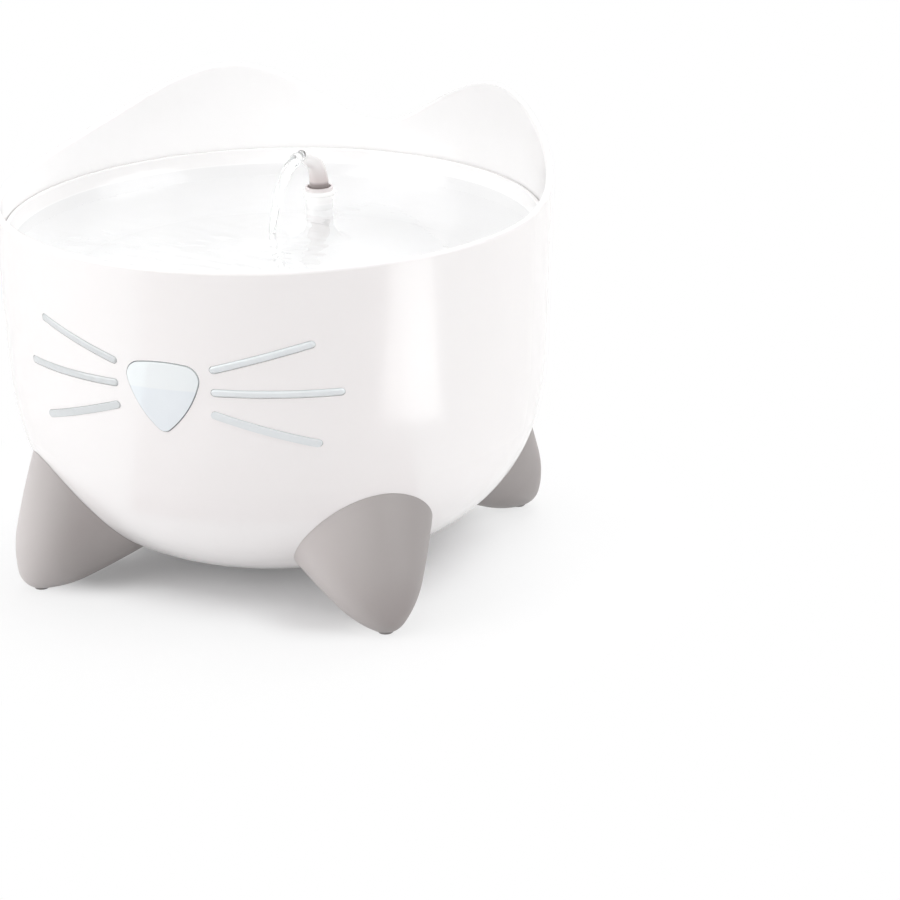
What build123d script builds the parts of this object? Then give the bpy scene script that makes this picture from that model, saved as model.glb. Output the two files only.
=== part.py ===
from build123d import *
import os
from math import acos, cos, hypot, pi, radians, sin, sqrt, tan

# Pet water fountain with a cat's face. Millimetres, +Z up, nose towards -Y,
# origin on the floor under the bowl's centre.

# ---- bowl shell: flat sole, three tangent bends, leaning side
rim_r = 118.6           # outside of the rim at the front
rim_z = 161.0
sole_z = 9.0
wall = 3.0
side_lean = 2.6         # degrees from upright
sole_bend = 82.0
sole_turn = 45.0        # degrees of slope where the sole's bend ends
belly_bend = 66.0
belly_turn = 77.0
flank_bend = 158.0
lip_round = 1.3

# ears, as (degrees from the back, height above the rim)
ear_outline = ((0, 1.5), (12, 11.3), (24, 24.2), (33, 27.8),
               (45, 23.3), (60, 12.5), (76, 4.2), (92, 0.5))
front_rim_angles = (106, 122, 140, 160, 180)

# ---- drinking dish and the ledge it rests on
ledge_z = 139.0
ledge_reach = 1.8       # how far the ledge stands out from the wall
ledge_depth = 3.0
dish_rim_z = 149.5
dish_lip = 1.8          # thickness of the dish at its rim
seam_gap = 0.35
dish_floor_z = 126.5
dish_wall = 2.4
dish_bend = 25.0
dish_rim_round = 0.5
spill_count = 9
spill_pitch = 4.6       # degrees
spill_width = 4.4
spill_low_z = 142.6
spill_high_z = 145.6
spill_channel = 1.2     # depth of the channels outside the dish that take the water down
spill_gap_half = 30.0   # half width of the gap in the ledge below the spill slots

# ---- column, collar ring and spout
column_y = 49.0
column_r = 5.9
column_top_z = 146.5
column_flare = 8.0
run_gap = 0.05          # radial clearance of running fits
stem_r = 4.3
stem_bore_r = 3.1
stem_low_z = 132.0
web_low_z = 129.0
web_thick = 2.0
web_bore_r = 3.0
skirt_r = 6.6
skirt_low_z = 112.0
ring_r = 7.3
ring_band = 2.0
ring_band_high_z = 148.6
ring_collar_r = 6.1     # the narrower ring that stands on the band
ring_high_z = 150.2
ring_well_r = 5.2       # the well round the tube
ring_well_depth = 1.6
ring_skirt_r = 6.7
ring_skirt_drop = 1.3
spout_bend_z = 150.6    # where the tube starts to bend forward and to narrow
spout_bend = 15.0
spout_turn = 64.0
spout_straight = 11.2
spout_mouth_r = 2.8
spout_mouth_bore_r = 2.1
spout_sections = 8      # along the bend
seal_groove_z = 137.0
seal_groove_depth = 0.6
seal_width = 1.6

# ---- nose window
nose_corner = (9.6, 114.2, 6.6)     # x, z and radius of the upper corners
nose_tip = (0.0, 95.1, 4.0)
nose_side_bend = 42.0
nose_top_bend = 70.0
lens_gap = 0.4
lens_proud = 0.5
lens_flange = 3.0
lens_flange_thick = 1.8
gasket_thick = 1.0
gasket_gap = 0.05

# ---- whiskers, as (name, inner x, inner z, outer x, outer z) on the right side
whiskers = (("upper", 22.1, 119.4, 59.3, 129.7),
            ("middle", 22.2, 109.6, 68.5, 108.5),
            ("lower", 21.9, 100.0, 59.9, 87.1))
whisker_width = 3.4
whisker_depth = 1.6
whisker_proud = 0.5
inlay_gap = 0.1

# ---- feet: rounded cones that lean inwards
foot_root_z = 31.6      # height at which the cone's axis meets the bowl's outer surface
foot_tip_z = 2.8
foot_tilt = 42.3
foot_tip_bend = 9.7
foot_tip_turn = 40.2
foot_mid_bend = 50.0
foot_mid_turn = 63.1
foot_top_bend = 400.0
foot_top_turn = 74.0
foot_wall = 3.0
foot_gap = 0.1
post_r = 4.0
post_short = 2.7        # along the foot's axis, from where it meets the bowl
socket_r = 7.0
socket_reach = 12.7
socket_root = 3.3
pad_r = 3.2
pad_thick = 1.8
pad_chamfer = 0.3

# ---- power socket in the rear wall
jack_z = 116.0
barrel_r = 5.5
barrel_length = 12.7      # behind the flange's face
jack_bore_r = 2.75
jack_bore_depth = 9.5
jack_pin_r = 1.0
jack_pin_length = 8.5
jack_flange_r = 7.6
jack_flange_thick = 1.6
jack_seal_thick = 0.8
spotface_r = 8.2
spotface_depth = 0.7
jack_pad_r = 9.5
jack_pad_thick = 4.4
nut_flats = 14.0
nut_thick = 3.0
boot_r = 7.0
boot_length = 8.0
boot_lap = 1.6
boot_tail_z = 103.0
boot_tail_r = 3.0

# ---- pump lead
lead_r = 1.8
lead_gap = 0.05
lead_wall_gap = 12.2    # from the wall's inside to the lead's upright stretch, at the socket's height
lead_exit_z = 43.8
lead_loop_x = 28.0
lead_notch_z = 57.0
lead_notch_inside = 8.8
lead_notch_outside = 18.0
lead_side_x = (44.0, 16.0)
lead_side_back = (17.5, 1.5)
lead_side_z = (62.0, 70.0)
lead_turn_z = 84.0
lead_bend_share = 0.45
clip_z = 97.0
clip_height = 4.0
clip_wall = 1.6

# ---- filter housing
tub_r = 47.0
tub_cover_gap = 2.5     # from the pump's front cover to the tub's wall
tub_wall = 2.0
tub_base_z = 14.5
tub_round = 14.0
tub_rim_z = 60.0
tub_ring_r = 21.0
tub_ring_width = 3.0
tub_notch_turn = 45.0
tub_notch_width = 4.4
tub_notch_low_z = 54.8
lid_thick = 2.0
lid_rib_drop = 3.0
lid_rib_gap = 0.3
lid_rib_width = 1.7
riser_hole_gap = 0.5
basket_front_gap = 2.5  # from the tub's wall to the basket
basket_r = 27.4
basket_wall = 1.6
basket_floor_z = 51.5
basket_floor_thick = 1.3
grid_hole_r = 2.2
grid_rings = ((0, 1), (7.5, 6), (15.0, 12), (21.5, 16))

# ---- filter cassette
cassette_gap = 0.2
cassette_wall = 1.4
cassette_floor_thick = 1.2
foam_thick = 3.5
carbon_thick = 5.0
cap_thick = 1.0
cassette_flange = 2.2
handle_height = 8.5
handle_reach = 11.0
handle_thick = 2.2
handle_width = 6.0

# ---- pump
pump_axis_z = 35.5
block_half_width = 17.0
block_half_height = 14.0
block_length = 40.0
nipple_set = 9.0        # from the block's front face to the nipple's axis
block_wall = 2.0
block_round = 3.0
chamber_r = 13.0
chamber_wall = 2.0
chamber_length = 14.0
can_r = 8.3
can_wall = 1.3
can_gap = 2.3           # from the coil to the can
nipple_r = 4.5
nipple_bore_r = 3.0
nipple_top_z = 55.0
cover_thick = 3.0
cover_boss_r = 4.2
cover_boss_drop = 2.5
cover_skin = 1.2        # in front of the bush
intake_hole_r = 1.9
intake_ring_r = 7.0
intake_count = 8
seal_inner_r = 11.2
seal_outer_r = 12.6
seal_thick = 1.0
shaft_r = 1.5
bush_r = 3.0
rear_bush_r = 4.5
rear_bush_thick = 1.5
magnet_r = 6.2
magnet_gap = 0.4        # from the rear bush
magnet_set = 2.0        # behind the block's front face
hub_r = 3.4
wheel_r = 9.5
wheel_gap = 1.0         # from the chamber's rear wall
wheel_thick = 1.2
vane_count = 6
vane_thick = 1.2
vane_gap = 3.0          # from the front cover
bush_gap = 0.1
shaft_short = 0.4
core_half_width = 13.6
core_half_height = 6.0
core_leg_gap = 0.3
core_set = 4.0          # from the block's rear face
core_yoke = 5.0
core_front_gap = 2.0    # from the block's front wall
coil_half_width = 7.5
coil_build = 2.6
coil_gap = 0.1
board_half_width = 13.0
board_back = 13.0       # from the block's rear face
board_front = 4.0       # behind the block's front face
board_z = 45.2
board_thick = 1.2
chip_x = (-6.0, 2.0)
chip_back = 5.0         # from the board's rear edge
chip_size = 4.0
chip_rise = 0.8
gland_set = 14.0        # behind the block's front face
gland_r = 2.9
gland_flange_r = 4.2
gland_tail = 3.0
cup_height = 5.0
cup_r = 5.5
cup_neck_r = 2.4
cup_stem_r = 1.8
cup_stem = 1.5
cup_gap = 0.1
cup_half_x = 11.0
cup_back = 8.0          # from the block's rear face
cup_front = 6.0         # behind the block's front face

# ---- riser and its sleeve
riser_r = 4.5
riser_bore_r = 3.3
riser_low_z = 55.6
riser_top_gap = 0.6
sleeve_r = 6.2
sleeve_low_z = 50.5
sleeve_high_z = 59.6

far = 150.0             # longer than any cut needs


def disc(radius, low, high):
    """An upright cylinder on the Z axis."""
    return Pos(0, 0, low) * Cylinder(radius, high - low, align=(Align.CENTER, Align.CENTER, Align.MIN))


def ring(outer, inner, low, high):
    """An upright tube on the Z axis."""
    return disc(outer, low, high) - disc(inner, low - 1, high + 1)


def along_y(shape):
    """Turns a shape built along +Z so that it lies along +Y, on the pump's axis."""
    return Pos(0, 0, pump_axis_z) * Rot(-90, 0, 0) * shape


def slab(x, y, z):
    """A box between two corners, given as (low, high) pairs."""
    middle = Pos((x[0] + x[1]) / 2, (y[0] + y[1]) / 2, (z[0] + z[1]) / 2)
    return middle * Box(x[1] - x[0], y[1] - y[0], z[1] - z[0])


def circles(shape, least):
    """The circular edges of a shape whose radius is at least this."""
    return [edge for edge in shape.edges().filter_by(GeomType.CIRCLE) if edge.radius > least - 0.01]


def turned(points):
    """The solid that a closed outline of (radius, height) points sweeps round the Z axis."""
    return revolve(Plane.XZ * make_face(Polyline(*points, close=True)), Axis.Z)


def bent_core(start_r, start_z, bends, inset, top=None, lean=0.0):
    """A round solid whose side is a chain of tangent bends, all moved inwards by inset.

    bends holds (radius, last slope in degrees). With a top, the side runs on at its lean up to it.
    """
    edges = [Line((0, start_z + inset), (start_r, start_z + inset))] if start_r > 0 else []
    point = (start_r, start_z + inset)
    heading = (1, 0)
    slope = 0.0
    for bend, last in bends:
        arc = JernArc(start=point, tangent=heading, radius=bend - inset, arc_size=last - slope)
        edges.append(arc)
        point = arc @ 1
        heading = arc % 1
        slope = last
    if top is not None:
        side_end = (point.X + (top - point.Y) * tan(radians(lean)), top)
        edges.append(Line(point, side_end))
        point = Vector(*side_end)
    edges.append(Line(point, (0, point.Y)))
    edges.append(Line((0, point.Y), (0, start_z + inset)))
    return revolve(Plane.XZ * make_face(edges), Axis.Z)


bowl_bends = ((sole_bend, sole_turn), (belly_bend, belly_turn), (flank_bend, 90 - side_lean))


def chain_size(bends):
    """How far a chain of bends reaches outwards and upwards."""
    slope, reach, rise = 0.0, 0.0, 0.0
    for bend, last in bends:
        reach += bend * (sin(radians(last)) - sin(radians(slope)))
        rise += bend * (cos(radians(slope)) - cos(radians(last)))
        slope = last
    return reach, rise


def chain_r(start_r, start_z, bends, z):
    """The radius of a chain of bends at a height on it."""
    slope = 0.0
    for bend, last in bends:
        rise = bend * (cos(radians(slope)) - cos(radians(last)))
        if z <= start_z + rise:
            here = acos(cos(radians(slope)) - (z - start_z) / bend)
            return start_r + bend * (sin(here) - sin(radians(slope)))
        start_r += bend * (sin(radians(last)) - sin(radians(slope)))
        start_z += rise
        slope = last
    return start_r


bowl_reach, bowl_rise = chain_size(bowl_bends)
sole_r = rim_r - bowl_reach - (rim_z - sole_z - bowl_rise) * tan(radians(side_lean))
ear_top_z = rim_z + max(rise for turn, rise in ear_outline)
floor_z = sole_z + wall


def bowl_core(inset, top=rim_z):
    """Everything inside the bowl's outer surface moved inwards by inset, up to the height top."""
    return bent_core(sole_r, sole_z, bowl_bends, inset, top, side_lean)


def side_r(z, inset=0.0):
    """The radius of the bowl's leaning side at a height, moved inwards by inset."""
    lean = radians(side_lean)
    return rim_r - (rim_z - z) * tan(lean) - inset / cos(lean)


ledge_r = side_r(ledge_z, wall) - ledge_reach
seam_r = side_r(dish_rim_z, wall) - seam_gap
dish_bend_z = dish_floor_z + dish_bend
dish_rim_slope = acos((dish_bend_z - dish_rim_z) / dish_bend)
dish_bend_r = seam_r - dish_lip - dish_bend * sin(dish_rim_slope)

foot_root_r = chain_r(sole_r, sole_z, bowl_bends, foot_root_z)
foot_length = (foot_root_z - foot_tip_z) / cos(radians(foot_tilt))
foot_tip_r = foot_root_r + foot_length * sin(radians(foot_tilt))
pad_centre_r = foot_tip_r - foot_tip_bend * sin(radians(foot_tilt))

block_front_y = column_y - nipple_set
block_back_y = block_front_y - block_length
chamber_end_y = block_front_y + chamber_length
core_low_y = block_back_y + core_set
core_high_y = block_front_y - block_wall - core_front_gap
can_end_y = core_low_y + core_yoke + coil_gap + coil_build + can_gap
magnet_low_y = can_end_y + can_wall + rear_bush_thick + magnet_gap
magnet_high_y = block_front_y - magnet_set
wheel_y = block_front_y + chamber_wall + wheel_gap
vane_end_y = chamber_end_y - vane_gap
board_low_y = block_back_y + board_back
board_high_y = block_front_y - board_front
gland_y = block_front_y - gland_set
cup_y = (block_back_y + cup_back, block_front_y - cup_front)
tub_y = chamber_end_y + cover_thick + tub_cover_gap + tub_wall - tub_r
basket_y = tub_y - (tub_r - tub_wall - basket_front_gap - basket_r - basket_wall)
spotface_y = side_r(jack_z) - spotface_depth
jack_face_y = spotface_y + jack_seal_thick + jack_flange_thick
barrel_inner_y = jack_face_y - barrel_length
jack_pad_y = spotface_y - jack_pad_thick
boot_low_y = barrel_inner_y - boot_length
lead_line_y = side_r(jack_z, wall) - lead_wall_gap


def ear_loop(radius):
    """The rim's outline at a radius, once round: flat in front, two ears behind."""
    left = [(-turn, rise) for turn, rise in reversed(ear_outline[1:])]
    front = [(turn, 0.0) for turn in front_rim_angles]
    front += [(360 - turn, 0.0) for turn in reversed(front_rim_angles[:-1])]
    points = []
    for turn, rise in left + list(ear_outline) + front:
        points.append(Vector(radius * sin(radians(turn)), radius * cos(radians(turn)), rim_z + rise))
    return Edge.make_spline(points, periodic=True)


def above_rim():
    """Everything above the rim and ears, near the wall."""
    sheet = Face.make_surface_from_curves(ear_loop(rim_r - 8 * wall), ear_loop(rim_r + 8 * wall))
    return Solid.extrude(sheet, Vector(0, 0, ear_top_z - rim_z + far / 5))


def foot_core(inset):
    """One foot's cone, moved inwards by inset, standing on its tip with its axis upright."""
    bends = ((foot_tip_bend, foot_tip_turn), (foot_mid_bend, foot_mid_turn),
             (foot_top_bend, foot_top_turn))
    return bent_core(0, 0, bends, inset)


foot_names = ("rear_right", "rear_left", "front_left", "front_right")


def at_foot(index):
    """The place of a foot: its tip, with the axis leaning over the bowl."""
    return Rot(0, 0, 45 + 90 * index) * Pos(foot_tip_r, 0, foot_tip_z) * Rot(0, -foot_tilt, 0)


def bulged_side(a, b, bend):
    """Where an arc of radius bend touches the outside of two corner circles, going round from a to b."""
    across = (b[0] - a[0], b[1] - a[1])
    length = hypot(*across)
    along = (across[0] / length, across[1] / length)
    out = (along[1], -along[0])
    to_a, to_b = bend - a[2], bend - b[2]
    shift = (to_a ** 2 - to_b ** 2 + length ** 2) / (2 * length)
    depth = sqrt(to_a ** 2 - shift ** 2)
    centre = (a[0] + along[0] * shift - out[0] * depth,
              a[1] + along[1] * shift - out[1] * depth)
    touches = []
    for corner, reach in ((a, to_a), (b, to_b)):
        share = bend / reach
        touches.append((centre[0] + (corner[0] - centre[0]) * share,
                        centre[1] + (corner[1] - centre[1]) * share))
    middle = (centre[0] + out[0] * bend, centre[1] + out[1] * bend)
    return touches[0], middle, touches[1]


def nose_face(grow):
    """The nose's rounded triangle, made larger by grow all round."""
    x, z, radius = nose_corner
    right = (x, z, radius + grow)
    left = (-x, z, radius + grow)
    tip = (nose_tip[0], nose_tip[1], nose_tip[2] + grow)
    sides = [bulged_side(tip, right, nose_side_bend + grow),
             bulged_side(right, left, nose_top_bend + grow),
             bulged_side(left, tip, nose_side_bend + grow)]
    corners = (right, left, tip)
    edges = []
    for index, (begin, middle, end) in enumerate(sides):
        edges.append(ThreePointArc(begin, middle, end))
        following = sides[(index + 1) % 3][0]
        cx, cz, radius = corners[index]
        half = ((end[0] + following[0]) / 2 - cx, (end[1] + following[1]) / 2 - cz)
        share = radius / hypot(*half)
        edges.append(ThreePointArc(end, (cx + half[0] * share, cz + half[1] * share), following))
    return make_face(edges)


def through_front(face):
    """A bar of this outline that runs through the bowl's front wall."""
    return Pos(0, -rim_r / 2, 0) * extrude(Plane.XZ * face, amount=rim_r)


def whisker_face(side, whisker, grow):
    """One whisker's outline: a bar with round ends."""
    name, x0, z0, x1, z1 = whisker
    span = Vector(side * (x1 - x0), z1 - z0)
    middle = Pos(side * (x0 + x1) / 2, (z0 + z1) / 2)
    turn = Vector(1, 0, 0).get_signed_angle(span, Vector(0, 0, 1))
    return middle * Rot(0, 0, turn) * SlotCenterToCenter(span.length, whisker_width + 2 * grow)


def layer(outer_inset, inner_inset):
    """The part of the bowl's wall between two insets."""
    return bowl_core(outer_inset) - bowl_core(inner_inset)


# ---------------------------------------------------------------- bowl and face

def ledge():
    """The ledge under the dish's flange, with a gap in front for the water that spills over."""
    root_r = side_r(ledge_z, wall / 2)
    slope_low = ledge_z - ledge_depth - (side_r(ledge_z, wall) - ledge_r)
    points = ((ledge_r, ledge_z), (root_r, ledge_z), (root_r, slope_low),
              (side_r(slope_low, wall), slope_low), (ledge_r, ledge_z - ledge_depth))
    gap = slab((-spill_gap_half, spill_gap_half), (-far, -ledge_r / 2), (slope_low - 1, ledge_z + 1))
    return turned(points) - gap


def jack_axis(shape):
    """Turns a shape built along +Z so that it lies along +Y, on the power socket's axis."""
    return Pos(0, 0, jack_z) * Rot(-90, 0, 0) * shape


def bowl_shell():
    shell = bowl_core(0, ear_top_z + 2) - bowl_core(wall, ear_top_z + 3)
    shell = shell - above_rim()
    rim_edges = [edge for edge in shell.edges() if edge.bounding_box().min.Z > rim_z - 1]
    shell = fillet([edge for edge in rim_edges if edge.length > rim_r], lip_round)
    shell = shell + ledge()
    # nose window and whisker grooves
    shell -= through_front(nose_face(0))
    for side in (-1, 1):
        for whisker in whiskers:
            shell -= through_front(whisker_face(side, whisker, 0)) - bowl_core(whisker_depth)
    # the socket for each foot's post
    post_top = foot_length - post_short
    socket = disc(socket_r, foot_length - socket_reach, foot_length + socket_root)
    socket -= disc(post_r + foot_gap, 0, post_top + foot_gap)
    inside = bowl_core(wall / 2)
    for index in range(4):
        shell += (at_foot(index) * socket) - inside
    # power socket: flat pad inside, spotface outside, hole through both
    pad = jack_axis(disc(jack_pad_r, jack_pad_y, side_r(jack_z, wall / 2)))
    shell += pad
    shell -= jack_axis(disc(spotface_r, spotface_y, far))
    shell -= jack_axis(disc(barrel_r + lead_gap, jack_pad_y - 1, far))
    # clip for the pump's lead
    half = lead_r + lead_gap + clip_wall
    low, high = clip_z - clip_height / 2, clip_z + clip_height / 2
    clip = slab((-half, half), (lead_line_y - lead_r, side_r(clip_z, wall / 2)), (low, high))
    clip -= Pos(0, lead_line_y, 0) * disc(lead_r + lead_gap, low - 1, high + 1)
    shell += clip
    return shell


def nose_lens():
    plug = through_front(nose_face(-lens_gap)) & layer(-lens_proud, wall + gasket_thick + gasket_gap)
    back = wall + gasket_thick + gasket_gap
    flange = through_front(nose_face(lens_flange)) & layer(back, back + lens_flange_thick)
    return plug + flange


def nose_gasket():
    sleeve = nose_face(-gasket_gap) - nose_face(gasket_gap - lens_gap)
    flat = nose_face(lens_flange) - nose_face(gasket_gap - lens_gap)
    front = through_front(sleeve) & layer(gasket_thick / 2, wall + gasket_thick)
    return front + (through_front(flat) & layer(wall + gasket_gap, wall + gasket_thick))


def whisker_bar(side, whisker):
    bar = through_front(whisker_face(side, whisker, -inlay_gap))
    return bar & layer(-whisker_proud, whisker_depth - inlay_gap)


# ---------------------------------------------------------------- feet

def pad_place(index):
    return Rot(0, 0, 45 + 90 * index) * Pos(pad_centre_r, 0, 0)


def foot(index):
    cone = foot_core(0) - foot_core(foot_wall)
    post_top = foot_length - post_short
    post = disc(post_r, foot_wall / 2, post_top)
    post_inside = post & foot_core(foot_wall / 2)
    shape = at_foot(index) * (cone + post_inside)
    # the cone ends where it meets the bowl, and its post goes on into the socket
    outside = at_foot(index) * disc(post_r, 0, post_top)
    trimmed = shape - (bowl_core(-foot_gap) - outside)
    trimmed -= pad_place(index) * disc(pad_r + foot_gap, -1, pad_thick)
    return max(trimmed.solids(), key=lambda solid: solid.volume)


def foot_pad(index):
    pad = disc(pad_r, 0, pad_thick)
    pad = chamfer(pad.edges().group_by(Axis.Z)[0], pad_chamfer)
    return pad_place(index) * pad


# ---------------------------------------------------------------- power socket and lead

def power_socket():
    flange_low = spotface_y + jack_seal_thick
    body = disc(barrel_r, barrel_inner_y, flange_low) + disc(jack_flange_r, flange_low, jack_face_y)
    bore_low = jack_face_y - jack_bore_depth
    body -= disc(jack_bore_r, bore_low, far)
    body += disc(jack_pin_r, bore_low - 1, bore_low + jack_pin_length)
    return jack_axis(body)


def socket_seal():
    return jack_axis(ring(jack_flange_r, barrel_r + lead_gap, spotface_y, spotface_y + jack_seal_thick))


def socket_nut():
    prism = extrude(RegularPolygon(nut_flats / 2, 6, major_radius=False), amount=nut_thick)
    nut = Pos(0, 0, jack_pad_y - nut_thick) * prism
    return jack_axis(nut - disc(barrel_r + lead_gap, 0, far))


def socket_boot():
    """The elbow boot that turns the lead down behind the socket."""
    boot = jack_axis(disc(boot_r, boot_low_y, barrel_inner_y + boot_lap))
    boot = fillet(boot.edges().group_by(Axis.Y)[0], boot_r / 3)
    tail = Pos(0, 0, boot_tail_z) * Cone(boot_tail_r, boot_tail_r + 1.5, jack_z - boot_tail_z,
                                         align=(Align.CENTER, Align.CENTER, Align.MIN))
    boot = boot + Pos(0, lead_line_y, 0) * tail
    boot -= jack_axis(disc(barrel_r + lead_gap, barrel_inner_y, far))
    return boot - Pos(0, lead_line_y, 0) * disc(lead_r + lead_gap, 0, jack_z)


def lead_points():
    """From the board, out through the gland, over the tub's notch and up behind it to the socket."""
    points = [(board_half_width + 0.3, gland_y, lead_exit_z), (lead_loop_x, gland_y, lead_exit_z)]
    notch = radians(tub_notch_turn)
    for reach in (tub_r - lead_notch_inside, tub_r + lead_notch_outside):
        points.append((reach * cos(notch), tub_y + reach * sin(notch), lead_notch_z))
    for x, off, z in zip(lead_side_x, lead_side_back, lead_side_z):
        points.append((x, lead_line_y - off, z))
    return points + [(0, lead_line_y, lead_turn_z), (0, lead_line_y, jack_z - lead_gap)]


def lead_bends(points):
    """Each bend is as large as the shorter of its two runs allows."""
    bends = []
    for before, corner, after in zip(points, points[1:], points[2:]):
        run_in = Vector(*corner) - Vector(*before)
        run_out = Vector(*after) - Vector(*corner)
        turn = radians(run_in.get_angle(run_out))
        bends.append(lead_bend_share * min(run_in.length, run_out.length) / tan(turn / 2))
    return bends


def pump_lead():
    points = lead_points()
    bends = lead_bends(points)
    print("pump lead bends", [round(bend, 1) for bend in bends])
    route = FilletPolyline(*points, radius=bends)
    start = Plane(origin=route @ 0, z_dir=route % 0)
    print("pump lead length", round(route.length, 1))
    return sweep(start * Circle(lead_r), path=route)


# ---------------------------------------------------------------- dish, column and spout

def dish_section():
    """The dish's own section: floor, one bend up to the rim, and the seat that stands on the ledge."""
    outer_bend = dish_bend + dish_wall
    under = sqrt(outer_bend ** 2 - (dish_bend_z - ledge_z) ** 2) + dish_bend_r
    low = dish_floor_z - dish_wall
    slope = dish_rim_slope * 180 / pi
    inner = JernArc(start=(dish_bend_r, dish_floor_z), tangent=(1, 0), radius=dish_bend, arc_size=slope)
    diagonal = outer_bend / sqrt(2)
    edges = [Line((0, dish_floor_z), (dish_bend_r, dish_floor_z)), inner]
    edges.append(Line(inner @ 1, (seam_r, dish_rim_z)))
    edges.append(Line((seam_r, dish_rim_z), (side_r(ledge_z, wall) - seam_gap, ledge_z)))
    edges.append(Line((side_r(ledge_z, wall) - seam_gap, ledge_z), (under, ledge_z)))
    edges.append(ThreePointArc((under, ledge_z), (dish_bend_r + diagonal, dish_bend_z - diagonal),
                               (dish_bend_r, low)))
    edges.append(Line((dish_bend_r, low), (0, low)))
    edges.append(Line((0, low), (0, dish_floor_z)))
    return make_face(edges)


def drinking_dish():
    dish = revolve(Plane.XZ * dish_section(), Axis.Z)
    rim = [edge for edge in circles(dish, seam_r - dish_lip) if edge.center().Z > dish_rim_z - 0.01]
    dish = fillet(rim, dish_rim_round)
    here = Pos(0, column_y, 0)
    dish += here * disc(column_r, dish_floor_z - 1, column_top_z)
    foot_edge = [edge for edge in circles(dish, column_r) if edge.radius < column_r + 0.01]
    dish = fillet([edge for edge in foot_edge if abs(edge.center().Z - dish_floor_z) < 0.01], column_flare)
    dish += here * disc(skirt_r, skirt_low_z, dish_floor_z - dish_wall / 2)
    dish -= here * disc(riser_r + run_gap, 0, web_low_z)
    dish -= here * disc(web_bore_r, 0, far)
    dish -= here * disc(stem_r + run_gap, web_low_z + web_thick, far)
    half = spill_width / 2
    slot = slab((dish_bend_r + dish_bend / 2, far), (-half, half), (spill_low_z, spill_high_z))
    slot += slab((seam_r - spill_channel, far), (-half, half), (ledge_z - 1, spill_high_z))
    for index in range(spill_count):
        dish -= Rot(0, 0, -90 + (index - (spill_count - 1) / 2) * spill_pitch) * slot
    return dish


def nozzle_ring():
    """The collar that caps the column and turns on it with the spout."""
    inner_r = stem_r + run_gap
    band_low_z = ring_band_high_z - ring_band
    band = ring(ring_r, inner_r, band_low_z, ring_band_high_z)
    band = fillet(circles(band, ring_r), ring_band / 2 - 0.1)
    joint_z = ring_band_high_z - ring_band / 2
    upstand = ring(ring_collar_r, inner_r, joint_z, ring_high_z)
    upstand -= disc(ring_well_r, ring_high_z - ring_well_depth, ring_high_z + 1)
    skirt = ring(ring_skirt_r, column_r + run_gap, column_top_z - ring_skirt_drop, joint_z)
    body = band + upstand + (skirt + ring(ring_skirt_r, inner_r, column_top_z, joint_z))
    return Pos(0, column_y, 0) * body


def neck_plane(along):
    """The plane across the spout's tube at this length along its centre line from the bend's start."""
    turn = min(max(along, 0) / spout_bend, radians(spout_turn))
    rest = along - turn * spout_bend
    y = column_y - spout_bend * (1 - cos(turn)) - rest * sin(turn)
    z = spout_bend_z + spout_bend * sin(turn) + rest * cos(turn)
    return Plane(origin=(0, y, z), x_dir=(1, 0, 0), z_dir=(0, -sin(turn), cos(turn)))


def gooseneck(base_r, mouth_r, low, past):
    """A round bar up out of the collar that bends forward and narrows up to its mouth, and past it."""
    bend_length = spout_bend * radians(spout_turn)
    length = bend_length + spout_straight
    places = [bend_length * index / spout_sections for index in range(spout_sections + 1)]
    steps = max(1, round(spout_sections * spout_straight / bend_length))
    places += [bend_length + (spout_straight + past) * (index + 1) / steps for index in range(steps)]
    sections = []
    for along in places:
        share = min(along / length, 1.0)
        sections.append(neck_plane(along) * Circle(base_r + (mouth_r - base_r) * share))
    stem = Pos(0, column_y, 0) * disc(base_r, low, spout_bend_z)
    return stem + loft(sections)


def spout_tube():
    tube = gooseneck(stem_r, spout_mouth_r, stem_low_z, 0)
    tube -= gooseneck(stem_bore_r, spout_mouth_bore_r, stem_low_z - 1, 1)
    groove = ring(stem_r + 1, stem_r - seal_groove_depth, seal_groove_z, seal_groove_z + seal_width)
    return tube - Pos(0, column_y, 0) * groove


def spout_seal():
    gap = run_gap / 2
    groove_r = stem_r - seal_groove_depth
    body = ring(stem_r + gap, groove_r + gap, seal_groove_z + gap, seal_groove_z + seal_width - gap)
    return Pos(0, column_y, 0) * body


def riser_tube():
    return Pos(0, column_y, 0) * ring(riser_r, riser_bore_r, riser_low_z, web_low_z - riser_top_gap)


def riser_sleeve():
    sleeve = ring(sleeve_r, riser_r + run_gap, sleeve_low_z, sleeve_high_z)
    return Pos(0, column_y, 0) * chamfer(circles(sleeve, sleeve_r), 0.6)


# ---------------------------------------------------------------- filter housing

def at_tub(shape):
    return Pos(0, tub_y, 0) * shape


def filter_housing():
    tub = disc(tub_r, tub_base_z, tub_rim_z)
    tub = fillet(tub.edges().group_by(Axis.Z)[0], tub_round)
    hollow = disc(tub_r - tub_wall, tub_base_z + tub_wall, tub_rim_z + 1)
    hollow = fillet(hollow.edges().group_by(Axis.Z)[0], tub_round - tub_wall)
    tub -= hollow
    tub += ring(tub_ring_r, tub_ring_r - tub_ring_width, floor_z, tub_base_z + tub_wall / 2)
    half = tub_notch_width / 2
    notch = slab((tub_r - 2 * tub_wall, tub_r + tub_wall), (-half, half), (tub_notch_low_z, tub_rim_z + 1))
    return at_tub(tub - Rot(0, 0, tub_notch_turn) * notch)


def grid_holes(thick_low, thick_high):
    """The round holes of a strainer plate, in rings."""
    holes = []
    for radius, count in grid_rings:
        for index in range(count):
            hole = Pos(radius, 0, 0) * disc(grid_hole_r, thick_low, thick_high)
            holes.append(Rot(0, 0, 360 * index / count) * hole)
    return holes


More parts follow.
